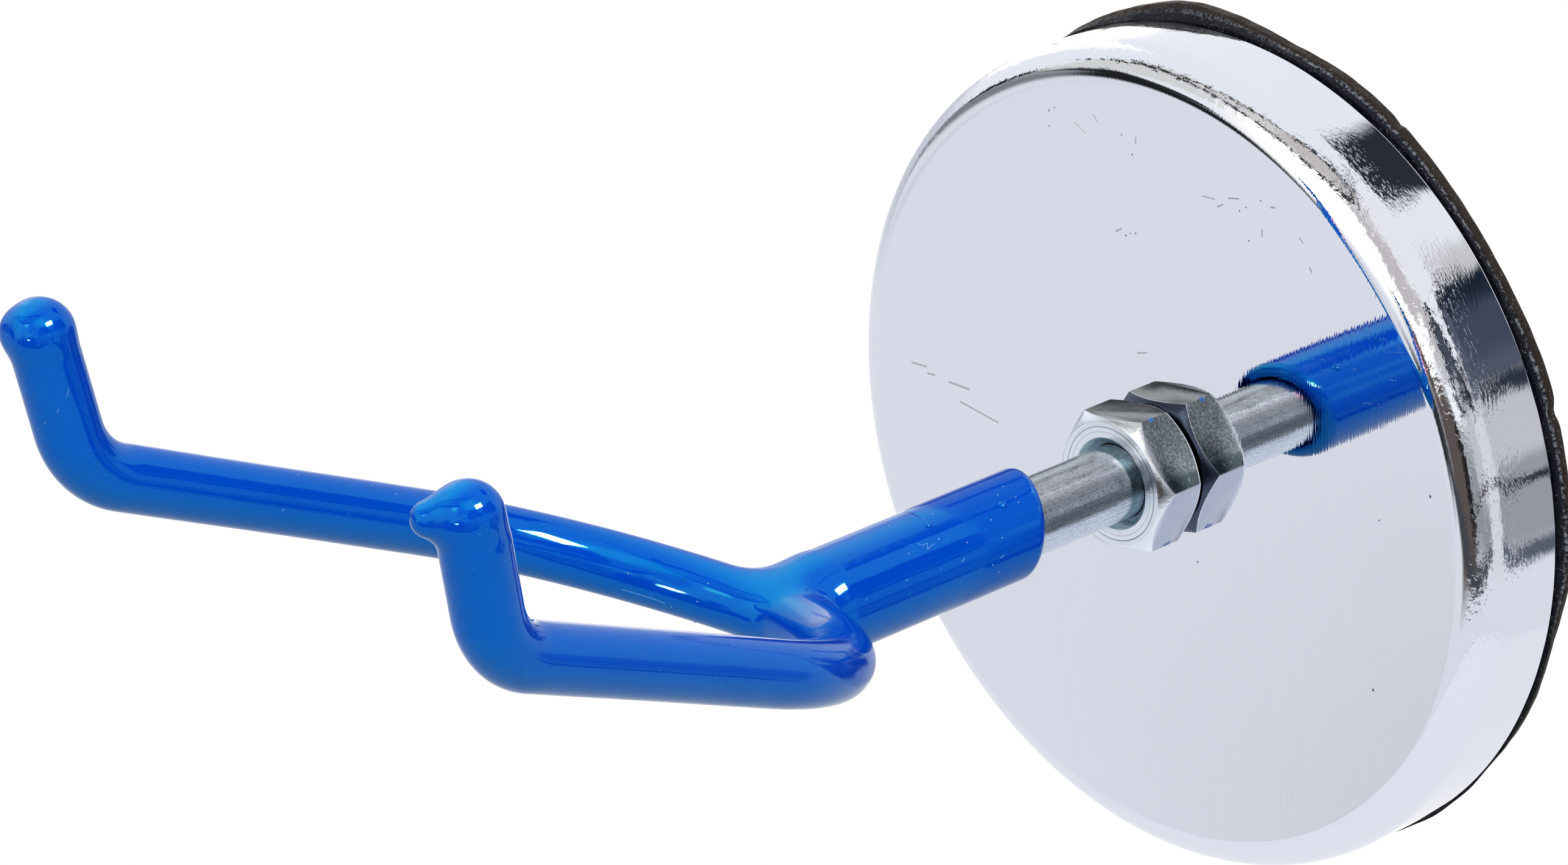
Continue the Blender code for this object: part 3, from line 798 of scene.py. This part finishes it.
def skin_distance(points):
    """How far each point lies outside the blue skin. Inside it the number is negative."""
    folded = points - fork_middle
    folded[:, 0] = np.abs(folded[:, 0])
    line = np.minimum.reduce([
        to_arc(folded, forward * apex_radius, apex_radius, sideways, forward, 0.0, apex_angle),
        to_arc(folded, side_centre, side_radius, sideways, forward, apex_angle, side_angle),
        to_run(folded, prong_start, elbow_start),
        to_arc(folded, elbow_centre, elbow_radius, prong, upward, 0.0, elbow_angle),
        to_run(folded, tip_start, rod_shoulder - fork_middle),
    ])
    sway = skin_sway * np.sin(points[:, 0] * 210 + 1.0) * np.sin(points[:, 1] * 190)
    fork = line - skin_radius - sway
    for shoulder, tip, _, tip_radius, _ in skin_tips:
        fork = np.minimum(fork, drawn_out(points, shoulder, tip, skin_radius, tip_radius) - sway)
    for _, tip, nose, tip_radius, nose_radius in skin_tips:
        fork = melted(fork, drawn_out(points, tip, nose, tip_radius - nose_sink, nose_radius), nose_blend)
    to_near = np.clip((points[:, 0] - crotch_from_x) / (crotch_to_x - crotch_from_x), 0.0, 1.0)
    blend = far_crotch_blend + (near_crotch_blend - far_crotch_blend) * to_near * to_near * (3 - 2 * to_near)
    whole = melted(sleeve_distance(points), fork, blend)
    bore = np.hypot(points[:, 0], points[:, 2]) - sleeve_bore
    return np.maximum(whole, -np.maximum(bore, sleeve_bore_end_y - points[:, 1]))


def net_over(distance, low, high, cell):
    """A quad mesh over the surface where a distance is zero, with its points moved on to that surface.

    A rough grid finds the cells near the surface, and only those are measured finely.
    """
    counts = np.ceil((high - low) / cell).astype(int) + 1
    block = 6
    rough_counts = np.ceil(counts / block).astype(int)
    rough_axes = [low[i] + cell * block * (np.arange(rough_counts[i]) + 0.5) for i in range(3)]
    rough_points = np.stack(np.meshgrid(*rough_axes, indexing="ij"), -1).reshape(-1, 3)
    field = distance(rough_points).reshape(rough_counts)
    for axis in range(3):
        field = np.repeat(field, block, axis)
    field = field[:counts[0], :counts[1], :counts[2]]
    near = np.abs(field) < cell * block * 1.3
    field[near] = distance(low + np.argwhere(near) * cell)
    below = field < 0
    ways = np.eye(3, dtype=int)
    corners = list(np.ndindex(2, 2, 2))
    filled = np.zeros(counts - 1, int)
    for corner in corners:
        window = tuple(slice(start, start + count) for start, count in zip(corner, counts - 1))
        filled += below[window]
    active = np.argwhere((filled > 0) & (filled < len(corners)))
    number = -np.ones(filled.shape, int)
    number[tuple(active.T)] = np.arange(len(active))
    total = np.zeros((len(active), 3))
    hits = np.zeros(len(active))
    for corner, axis in ((corner, axis) for corner in corners for axis in range(3) if not corner[axis]):
        first = active + corner
        one = field[tuple(first.T)]
        two = field[tuple((first + ways[axis]).T)]
        crosses = (one < 0) != (two < 0)
        share = one / np.where(crosses, one - two, 1.0)
        total += np.where(crosses[:, None], first + share[:, None] * ways[axis], 0.0)
        hits += crosses
    points = low + total / hits[:, None] * cell
    faces = []
    for axis in range(3):
        beside = [(axis + 1) % 3, (axis + 2) % 3]
        crossing = np.argwhere(np.diff(below, axis=axis))
        inside = (crossing > 0) & (crossing < filled.shape)
        crossing = crossing[inside[:, beside].all(1)]
        backs = [np.array(back) @ ways[beside] for back in ((1, 1), (0, 1), (0, 0), (1, 0))]
        quads = np.stack([number[tuple((crossing - back).T)] for back in backs], 1)
        flip = ~below[tuple(crossing.T)]
        quads[flip] = quads[flip][:, ::-1]
        faces.append(quads)
    for _ in range(3):
        slope = slope_of(distance, points, cell * 0.1)
        move = distance(points)[:, None] * slope / np.maximum((slope ** 2).sum(1), 0.2)[:, None]
        points -= np.clip(move, -cell, cell)
    return points.tolist(), np.concatenate(faces).tolist()


def slope_of(distance, points, step):
    """Which way a distance grows at each point, and how fast."""
    return np.stack([
        (distance(points + step * way) - distance(points - step * way)) / (2 * step) for way in np.eye(3)
    ], 1)


blue = Finish("dipped_blue_vinyl", (0.0, 0.055, 0.52), 0.07, Specular_Tint=(0.0, 12.6, 8.4, 1.0), IOR=1.15,
              Coat_Weight=0.12, Coat_Roughness=0.05)
dip_cloud = blue.grain(90, 3)
dip_fine = blue.grain(700)
dip_grains = blue.ramp(blue.grain(2400, 1), 0.72, 0.78)
blue_colour = blue.blend(dip_cloud, (0.0, 0.046, 0.50), (0.0, 0.066, 0.56))
blue_colour = blue.blend(blue.times(dip_grains, 0.5), blue_colour, (0.01, 0.20, 0.66))

# Scratches in the skin: the points of each line (x, y, z) in millimetres, then its half width.
skin_scratches = (
    (((3.42, -50.75, 4.37), (3.72, -50.29, 4.11), (3.68, -49.65, 4.16), (4.10, -49.99, 3.74),
      (3.93, -48.88, 3.92)), 0.03),
    (((-27.13, -130.30, 36.66), (-27.16, -130.47, 36.09), (-27.68, -131.35, 34.49), (-28.84, -132.08, 33.22),
      (-29.93, -132.19, 32.26)), 0.03),
    (((-13.40, -75.27, 2.22), (-11.65, -73.95, 1.65), (-9.92, -72.78, 1.01)), 0.05),
    (((5.54, -41.21, 0.32), (5.53, -40.75, 0.50)), 0.05),
    (((5.32, -46.42, 1.58), (5.27, -46.02, 1.74)), 0.05),
)
scratch_marks = [
    (first, second, width) for line, width in skin_scratches for first, second in zip(line, line[1:])
]

# Pits, a dent, and specks of dust that the skin closed over, in millimetres; the pits carry painted shade.
skin_mark_radius = 0.08
skin_pits = ((0.52, -50.26, 5.53), (2.48, -59.15, 4.97), (-8.46, -71.47, 3.53), (30.57, -115.64, 24.39))
skin_dent = ((-1.28, -47.50, 5.40), (0.90, -47.68, 5.48), 0.20)
skin_specks = (
    (1.10, -46.27, 5.44), (0.10, -51.46, 5.55), (3.74, -48.09, 4.10), (3.89, -52.43, 3.95),
    (5.18, -53.99, 1.99), (4.67, -45.02, 2.99), (3.92, -40.85, 3.93), (2.00, -37.98, 5.18),
    (5.09, -40.48, 2.20), (5.55, -42.35, -0.05), (3.48, -36.49, 4.32), (2.93, -36.34, 4.71),
    (1.29, -36.51, 5.40), (5.42, -41.42, -1.21), (-12.90, -74.86, 4.01), (-6.31, -70.17, 3.38),
    (-1.40, -69.37, 1.92), (2.01, -69.05, 2.73), (0.27, -66.22, 4.85), (2.91, -65.27, 4.89),
    (-9.39, -72.39, 0.66), (-8.20, -70.42, -1.30), (-6.75, -71.28, 1.66), (-26.11, -104.89, 20.21),
    (-24.35, -108.36, 18.13), (-24.29, -94.50, 15.40), (-25.30, -96.58, 16.73),
)
scratches = marked(blue, blue.place, scratch_marks)
shaded_pits = marked(blue, blue.place, [(place, place, skin_mark_radius) for place in skin_pits])
speck_highlights = marked(blue, blue.place, [(place, place, skin_mark_radius) for place in skin_specks])
dent = marked(blue, blue.place, [skin_dent])
blue_colour = blue.blend(blue.times(scratches, 0.45), blue_colour, (0.35, 0.62, 0.85))
# Painted shade: the pits are painted dark.
blue_colour = blue.blend(blue.times(shaded_pits, 0.8), blue_colour, (0.0, 0.02, 0.12))
# Painted highlight: the specks are painted pale over their little domes.
blue.set("Base Color", blue.blend(blue.times(speck_highlights, 0.7), blue_colour, (0.45, 0.68, 0.85)))
blue.set("Roughness", blue.ramp(dip_fine, 0.3, 0.8, 0.06, 0.10))
blue.set("Normal", blue.bump(blue.plus(dent, shaded_pits), -0.00006, blue.bump(dip_cloud, 0.00012)))

# Two bubbles and all the specks stand up as little domes: the place, radius and height in millimetres.
skin_domes = [(2.19, -47.99, 5.10, 0.38, 0.28), (3.18, -38.48, 4.55, 0.46, 0.32)]
skin_domes += [(*place, 0.085, 0.07) for place in skin_specks]
dome_rings = 5
dome_ring_turn = math.radians(20)
dome_steps = 16


def little_dome(place, radius, height, first_point):
    """The points and faces of a shallow dome that stands on the skin at the point nearest to a place."""
    spot = np.array([place])
    for _ in range(4):
        out = slope_of(skin_distance, spot, 0.00002)
        spot = spot - skin_distance(spot)[:, None] * out
    out = out[0] / np.linalg.norm(out[0])
    across = np.cross(out, (0.3, 0.2, 0.9))
    across /= np.linalg.norm(across)
    over = np.cross(out, across)
    points = [spot[0] + out * height]
    faces = []
    for ring in range(dome_rings):
        share = dome_ring_turn * (ring + 1)
        here = first_point + 1 + ring * dome_steps
        last = here - dome_steps
        for step in range(dome_steps):
            beside = (step + 1) % dome_steps
            turn = math.tau * step / dome_steps
            wide = radius * math.sin(share) * (across * math.cos(turn) + over * math.sin(turn))
            points.append(spot[0] + wide + out * height * math.cos(share))
            if ring == 0:
                faces.append((first_point, here + step, here + beside))
            else:
                faces.append((last + step, here + step, here + beside, last + beside))
    return [tuple(point) for point in points], faces


skin_low = np.array([-0.0385, -0.1375, -0.0085])
skin_high = np.array([0.0385, -0.0315, 0.0465])
skin_net, skin_faces = net_over(skin_distance, skin_low, skin_high, skin_cell)
for *dome_place, dome_radius, dome_height in (np.array(skin_domes) * 0.001).tolist():
    dome_points, dome_faces = little_dome(dome_place, dome_radius, dome_height, len(skin_net))
    skin_net += dome_points
    skin_faces += dome_faces
skin = piece_from("dip_coating_blue", skin_net, skin_faces, blue)
skin_points = np.array([point.co for point in skin.data.vertices])
skin_ways = slope_of(skin_distance, skin_points, 0.00003)
skin_ways /= np.maximum(np.linalg.norm(skin_ways, axis=1), 0.001)[:, None]
dome_ways = np.array([point.normal for point in skin.data.vertices])
on_skin = np.abs(skin_distance(skin_points)) < skin_reach
skin_ways = np.where(on_skin[:, None], skin_ways, dome_ways)
skin.data.normals_split_custom_set_from_vertices(skin_ways.tolist())
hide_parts("dip_coating")
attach(skin, "hook")

# The studio: a pale floor under the holder, two lamps for plain light, and five that only the skin shows.
# A room of soft boxes and dark gaps stands round it, which only the bright metal and the glossy skin show.

floor_z = -0.30
floor_radius = 0.42
floor_brightness = 0.72
floor_finish = bpy.data.materials.new("pale_floor")
floor_finish.use_nodes = True
floor_nodes = Nodes(floor_finish.node_tree)
floor_nodes.tree.nodes.clear()
floor_path = floor_nodes.node("ShaderNodeLightPath").outputs
floor_seen = floor_nodes.plus(floor_path["Is Camera Ray"], floor_path["Is Glossy Ray"])
floor_seen = floor_nodes.plus(floor_seen, floor_path["Is Transmission Ray"])
floor_matt = floor_nodes.node("ShaderNodeBsdfDiffuse", (0.30, 0.30, 0.30))
floor_glow = floor_nodes.node("ShaderNodeEmission")
floor_nodes.feed(floor_glow.inputs["Strength"], floor_nodes.times(floor_seen, floor_brightness))
floor_sum = floor_nodes.node("ShaderNodeAddShader", floor_matt.outputs[0], floor_glow.outputs[0])
floor_nodes.node("ShaderNodeOutputMaterial", floor_sum.outputs[0])

floor_shape = bmesh.new()
floor_place = Matrix.Translation((0, 0, floor_z))
bmesh.ops.create_circle(floor_shape, cap_ends=True, segments=128, radius=floor_radius, matrix=floor_place)
floor_mesh = bpy.data.meshes.new("floor")
floor_shape.to_mesh(floor_mesh)
floor_shape.free()
floor_mesh.materials.append(floor_finish)
floor = placed("floor", floor_mesh)

world = bpy.data.worlds.new("studio")
bpy.context.scene.world = world
world.use_nodes = True
room = Nodes(world.node_tree)
room.tree.nodes.clear()
room_x, room_y, room_z = room.parts(room.node("ShaderNodeTexCoord").outputs["Generated"])
azimuth = room.math("DEGREES", room.math("ARCTAN2", room_x, room.times(room_y, -1.0)))
elevation = room.math("DEGREES", room.math("ARCSINE", room_z))

# Each thing in the room: its name, the azimuth and elevation of its middle, its half width and half height,
# and how soft its edge is, all in degrees, then its colour as chrome shows it. Two more numbers, where they
# follow, say how far its middle climbs and bows per degree of azimuth.
room_things = (
    ("far table", 0, -66, 400, 30, 14, (209, 214, 226)),
    ("upper room", 0, 60, 400, 62, 8, (226, 230, 241)),
    ("left low box", -139, -49, 10, 22, 6, (252, 253, 255)),
    ("left box", -119, 8, 19, 14, 7, (300, 292, 290), 1.1, 0.0),
    ("left cord", -127, 1, 9, 1.0, 1.0, (170, 174, 184), 1.1, 0.0),
    ("left counter", -85, -7, 40, 8, 5, (188, 193, 208)),
    ("left counter dark", -60, 1, 24, 4.5, 3, (120, 124, 132), 0.10, -0.006),
    ("left arc", -55, 8, 21, 2.6, 1.3, (40, 42, 48), 0.0, -0.012),
    ("left arc deep", -40, -2, 9, 6.5, 3, (30, 31, 36), -0.8, 0.0),
    ("left arc pale", -60, -9, 17, 4.0, 3, (213, 217, 228), 0.0, -0.01),
    ("paper", -44, 19, 17, 7, 3, (205, 209, 210), 0.35, 0.0),
    ("main soft box", -6, 22, 24, 22, 5, (262, 262, 262), 0.25, 0.0),
    ("beige screen", 38, 35, 23, 16, 3, (189, 185, 190)),
    ("low shelf", 92, 2, 60, 22, 3, (188, 190, 198)),
    ("low shelf dark", 80, -12, 76, 5, 3, (140, 143, 150), 0.02, 0.0),
    ("brown corner", 16, -9, 21, 16, 4, (88, 80, 78), 0.1, 0.0),
    ("brown corner deep", 33, -6, 6, 10, 3, (34, 33, 38)),
    ("corner edge", -13, -13, 8, 5, 2.5, (40, 44, 48), 0.3, 0.0),
    ("white beam", 22, 14, 18, 3.6, 2.5, (262, 262, 262), 0.75, 0.0),
    ("dark chair", 50, -3, 9, 7, 4, (140, 147, 154)),
    ("bare lamp", 2, 38, 7, 5, 1.5, (420, 420, 420)),
    ("white shelf", 48, 12, 14, 4.5, 2, (238, 241, 247), 0.25, 0.0),
    ("dark door", 70, 31, 19, 9, 1.6, (66, 72, 86), 0.05, -0.035),
    ("door outline", 70, 39, 19, 1.6, 1.2, (28, 30, 36), 0.05, -0.045),
    ("dark corner", 128, 26, 23, 11, 1.6, (78, 86, 104), -0.16, -0.012),
    ("corner outline", 124, 37, 22, 1.8, 1.4, (34, 36, 42), -0.14, -0.018),
    ("corner haze", 150, 33.5, 8, 2.4, 1.5, (196, 195, 200)),
    ("corner top", 144, 28.6, 9, 3.0, 1.2, (26, 36, 50)),
    ("corner below", 140, 22, 8, 4.5, 2.5, (62, 71, 90)),
    ("corner foot", 137, 11.4, 9, 1.9, 1.2, (44, 50, 64)),
    ("door foot", 78, 19.4, 24, 2.0, 1.6, (62, 66, 76), 0.28, 0.0),
    ("small gap", 92, 18, 6, 3.5, 2, (36, 38, 44)),
    ("table edge", 28, -24, 40, 3.6, 2.2, (66, 68, 76), -0.06, 0.004),
    ("wall foot", 138, -11, 14, 8, 1.5, (146, 151, 162)),
    ("table edge right", 96, -17.6, 50, 1.9, 1.3, (84, 92, 106), 0.0, -0.002),
    ("white curtain", 98, -4, 17, 19, 3, (208, 212, 220)),
    ("shelf line", 88, -2.0, 60, 0.75, 0.7, (40, 42, 48), 0.05, -0.0035),
    ("table shade", -36, -29, 7, 5, 4, (200, 205, 216)),
    ("ceiling panel", -2, 58, 60, 13, 2, (206, 205, 207), 0.32, -0.003),
    ("panel shade", 18, 65, 34, 9, 4, (190, 185, 187), 0.22, -0.003),
    ("panel outline high", 5, 74, 72, 2.6, 1.4, (38, 40, 46), 0.28, -0.0058),
    ("panel outline low", -8, 43, 56, 2.2, 1.6, (48, 50, 56), 0.30, 0.0035),
    ("right soft box", 98, 59, 50, 13, 2.5, (226, 229, 236), 0.0, -0.003),
    ("ceiling line", 112, 75, 46, 1.2, 1.0, (150, 148, 152), -0.05, -0.003),
    ("panel bar", 62, 77, 26, 2.0, 1.2, (58, 60, 66), 0.20, 0.0),
    ("dark shelf", 176, 45, 13, 6.5, 1.5, (40, 44, 54)),
    ("dark shelf end", -185, 45, 12, 6.5, 3, (40, 44, 54)),
)


def as_lit(colour):
    """The light that chrome turns into a colour of 0 to 255."""
    return tuple(((value / 255 + 0.055) / 1.055) ** 2.4 / tint for value, tint in zip(colour, chrome_tint))


seen = as_lit((214, 218, 230))
for name, middle, height, half_width, half_height, soft, colour, *bend in room_things:
    climb, bow = bend or (0.0, 0.0)
    along = room.minus(azimuth, middle)
    lift = room.times(room.math("MULTIPLY_ADD", along, bow, climb), along)
    wide = room.near(azimuth, middle, half_width - soft, half_width + soft)
    high = room.near(room.minus(elevation, lift), height, half_height - soft, half_height + soft)
    share = room.times(wide, high)
    share.node.label = name
    seen = room.blend(share, seen, as_lit(colour))

path = room.node("ShaderNodeLightPath").outputs
mirrored = room.math("ADD", path["Is Glossy Ray"], path["Is Transmission Ray"], clamp=True)
plain_light = (0.62, 0.62, 0.63)
lit = room.blend(mirrored, plain_light, seen)
background = room.node("ShaderNodeBackground", room.blend(path["Is Camera Ray"], lit, (1.0, 1.0, 1.0)), 1.0)
room.node("ShaderNodeOutputWorld", background.outputs[0])

middle_of_holder = Vector((0.0, -0.065, 0.0))


def direction(azimuth_degrees, elevation_degrees):
    """A heading from the holder, with azimuth from -Y towards +X."""
    turn = math.radians(azimuth_degrees)
    climb = math.radians(elevation_degrees)
    return Vector((math.sin(turn) * math.cos(climb), -math.cos(turn) * math.cos(climb), math.sin(climb)))


def area_lamp(name, azimuth_degrees, elevation_degrees, away, width, height, radiance, for_gloss,
              colour=(1.0, 1.0, 1.0), soft_edge=0.0, spread=180.0):
    """A soft lamp that faces the holder. Gloss lamps light no matt surface, and the others give no gloss."""
    lamp = bpy.data.lights.new(name, "AREA")
    lamp.shape = "RECTANGLE"
    lamp.size = width
    lamp.size_y = height
    lamp.energy = radiance * math.pi * width * height
    lamp.color = colour
    lamp.spread = math.radians(spread)
    if soft_edge:
        lamp.use_nodes = True
        lamp_nodes = Nodes(lamp.node_tree)
        across = lamp_nodes.node("ShaderNodeNewGeometry").outputs["Parametric"]
        from_middle = lamp_nodes.vector("DISTANCE", across, (0.5, 0.5, 0.0))
        fall = lamp_nodes.ramp(from_middle, 0.5 - soft_edge, 0.5, 1.0, 0.0)
        lamp_nodes.feed(lamp.node_tree.nodes["Emission"].inputs["Strength"], fall)
    made = placed(name, lamp)
    made.location = middle_of_holder + direction(azimuth_degrees, elevation_degrees) * away
    made.rotation_euler = (middle_of_holder - made.location).to_track_quat("-Z", "Y").to_euler()
    made.visible_camera = False
    made.visible_diffuse = not for_gloss
    made.visible_glossy = for_gloss
    return made


area_lamp("key_lamp", 35, 50, 1.2, 0.9, 0.9, 3.0, False)
area_lamp("side_lamp", 90, 42, 1.2, 0.6, 0.4, 4.0, False)
glossy_pieces = bpy.data.collections.new("glossy_pieces")
glossy_pieces.objects.link(skin)
soft_tint = (0.15, 1.0, 0.95)
glint_tint = (1.0, 0.18, 0.21)
for skin_lamp in (
    area_lamp("glint_lamp_high", 95, 45, 1.6, 0.62, 0.34, 240.0, True, glint_tint),
    area_lamp("glint_lamp_low", 18.3, 1.5, 0.4, 0.150, 0.049, 1.9, True, glint_tint, 0.0, 13.0),
    area_lamp("left_soft_lamp", -90, 48, 1.6, 4.4, 3.0, 1.7, True, soft_tint, 0.45),
    area_lamp("right_soft_lamp", 56, 55, 1.6, 1.8, 1.2, 1.1, True, soft_tint, 0.3),
    area_lamp("front_soft_lamp", -30, 24, 1.6, 1.4, 1.0, 0.6, True, soft_tint, 0.3),
):
    skin_lamp.light_linking.receiver_collection = glossy_pieces

camera_data = bpy.data.cameras.new("photo_camera")
camera_data.sensor_width = 36.0
camera_data.sensor_fit = "HORIZONTAL"
camera_data.lens = 143.59
camera = placed("photo_camera", camera_data)
camera.location = (0.413737, -0.445629, 0.256611)
looking = Vector((-0.678362, 0.623807, -0.388188))
roll = Matrix.Rotation(math.radians(1.746), 3, looking)
camera.rotation_euler = (roll @ looking.to_track_quat("-Z", "Y").to_matrix()).to_euler()
bpy.context.scene.camera = camera
bpy.context.scene.view_settings.view_transform = "Standard"
